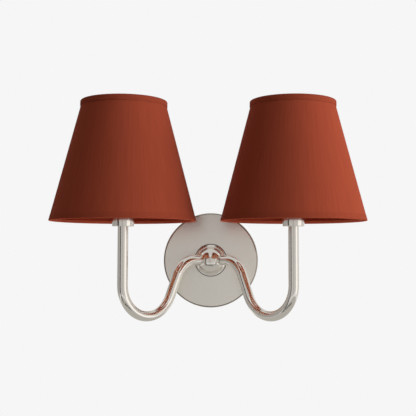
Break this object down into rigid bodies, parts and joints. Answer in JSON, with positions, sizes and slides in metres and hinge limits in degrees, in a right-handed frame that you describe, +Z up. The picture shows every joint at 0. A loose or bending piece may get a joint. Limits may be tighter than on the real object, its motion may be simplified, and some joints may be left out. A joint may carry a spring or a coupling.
{
  "type": "double arm wall sconce",
  "caption": "Wall light with a round plate, a domed hub, curved tube arms and upright lampholders under tapered fabric drum shades.",
  "frame": {"origin": "on the wall, behind the centre of the round wall plate and midway between the slots of the strap", "axes": "+X to the viewer's right, +Y into the wall, +Z up"},
  "size_m": [0.389, 0.22, 0.2724],
  "materials": {
    "polished_metal": "polished",
    "satin_metal": "satin",
    "zinc_steel": "satin",
    "brass": "satin",
    "nickel_brass": "polished",
    "white_core": "gloss",
    "white_plastic": "satin",
    "block_plastic": "matte",
    "black_glass": "gloss",
    "lamp_glass": "opal",
    "white_wire": "gloss",
    "shade_lining": "matte",
    "shade_cloth": "satin",
    "shade_tape": "satin",
    "brown_lead": "satin",
    "blue_lead": "satin",
    "green_lead": "satin"
  },
  "bodies": {
    "wall_light": {"backplate": "satin_metal", "wall_strap": "zinc_steel", "rim_screws": "satin_metal", "hub": "polished_metal", "hub_thread": "zinc_steel", "hub_washer": "zinc_steel", "hub_nut": "zinc_steel", "terminal_block": "block_plastic", "terminal_tubes": "brass", "terminal_screws": "zinc_steel", "block_screw": "zinc_steel", "earth_screw": "brass", "earth_eyelet": "zinc_steel", "earth_lead": "green_lead", "left_arm": "polished_metal", "left_live_lead": "brown_lead", "left_neutral_lead": "blue_lead", "left_stem_thread": "zinc_steel", "left_holder_cap": "polished_metal", "left_holder_core": "white_core", "left_holder_shell": "brass", "left_holder_contact": "brass", "left_holder_sleeve": "white_plastic", "right_arm": "polished_metal", "right_live_lead": "brown_lead", "right_neutral_lead": "blue_lead", "right_stem_thread": "zinc_steel", "right_holder_cap": "polished_metal", "right_holder_core": "white_core", "right_holder_shell": "brass", "right_holder_contact": "brass", "right_holder_sleeve": "white_plastic"},
    "left_shade": {"left_shade_washer": "white_wire", "left_shade_spokes": "white_wire", "left_shade_bottom_wire": "white_wire", "left_shade_top_wire": "white_wire", "left_shade_lining": "shade_lining", "left_shade_cloth": "shade_cloth", "left_shade_top_tape": "shade_tape", "left_shade_bottom_tape": "shade_tape"},
    "left_ring": {"left_shade_ring": "white_plastic"},
    "left_lamp": {"left_lamp_foot": "black_glass", "left_lamp_cap": "nickel_brass", "left_lamp_globe": "lamp_glass"},
    "right_shade": {"right_shade_washer": "white_wire", "right_shade_spokes": "white_wire", "right_shade_bottom_wire": "white_wire", "right_shade_top_wire": "white_wire", "right_shade_lining": "shade_lining", "right_shade_cloth": "shade_cloth", "right_shade_top_tape": "shade_tape", "right_shade_bottom_tape": "shade_tape"},
    "right_ring": {"right_shade_ring": "white_plastic"},
    "right_lamp": {"right_lamp_foot": "black_glass", "right_lamp_cap": "nickel_brass", "right_lamp_globe": "lamp_glass"}
  },
  "joints": [
    {"name": "left_shade_turn", "type": "hinge", "parent": "wall_light", "child": "left_shade", "pos_m": [-0.1045, -0.13, 0.0414], "axis": [0, 0, 1], "continuous": true},
    {"name": "left_ring_turn", "type": "hinge", "parent": "wall_light", "child": "left_ring", "pos_m": [-0.1045, -0.13, 0.0414], "axis": [0, 0, 1], "range_deg": [0, 1620]},
    {"name": "left_lamp_turn", "type": "hinge", "parent": "wall_light", "child": "left_lamp", "pos_m": [-0.1045, -0.13, 0.0414], "axis": [0, 0, 1], "range_deg": [0, 1620]},
    {"name": "right_shade_turn", "type": "hinge", "parent": "wall_light", "child": "right_shade", "pos_m": [0.1045, -0.13, 0.0414], "axis": [0, 0, 1], "continuous": true},
    {"name": "right_ring_turn", "type": "hinge", "parent": "wall_light", "child": "right_ring", "pos_m": [0.1045, -0.13, 0.0414], "axis": [0, 0, 1], "range_deg": [0, 1620]},
    {"name": "right_lamp_turn", "type": "hinge", "parent": "wall_light", "child": "right_lamp", "pos_m": [0.1045, -0.13, 0.0414], "axis": [0, 0, 1], "range_deg": [0, 1620]}
  ]
}
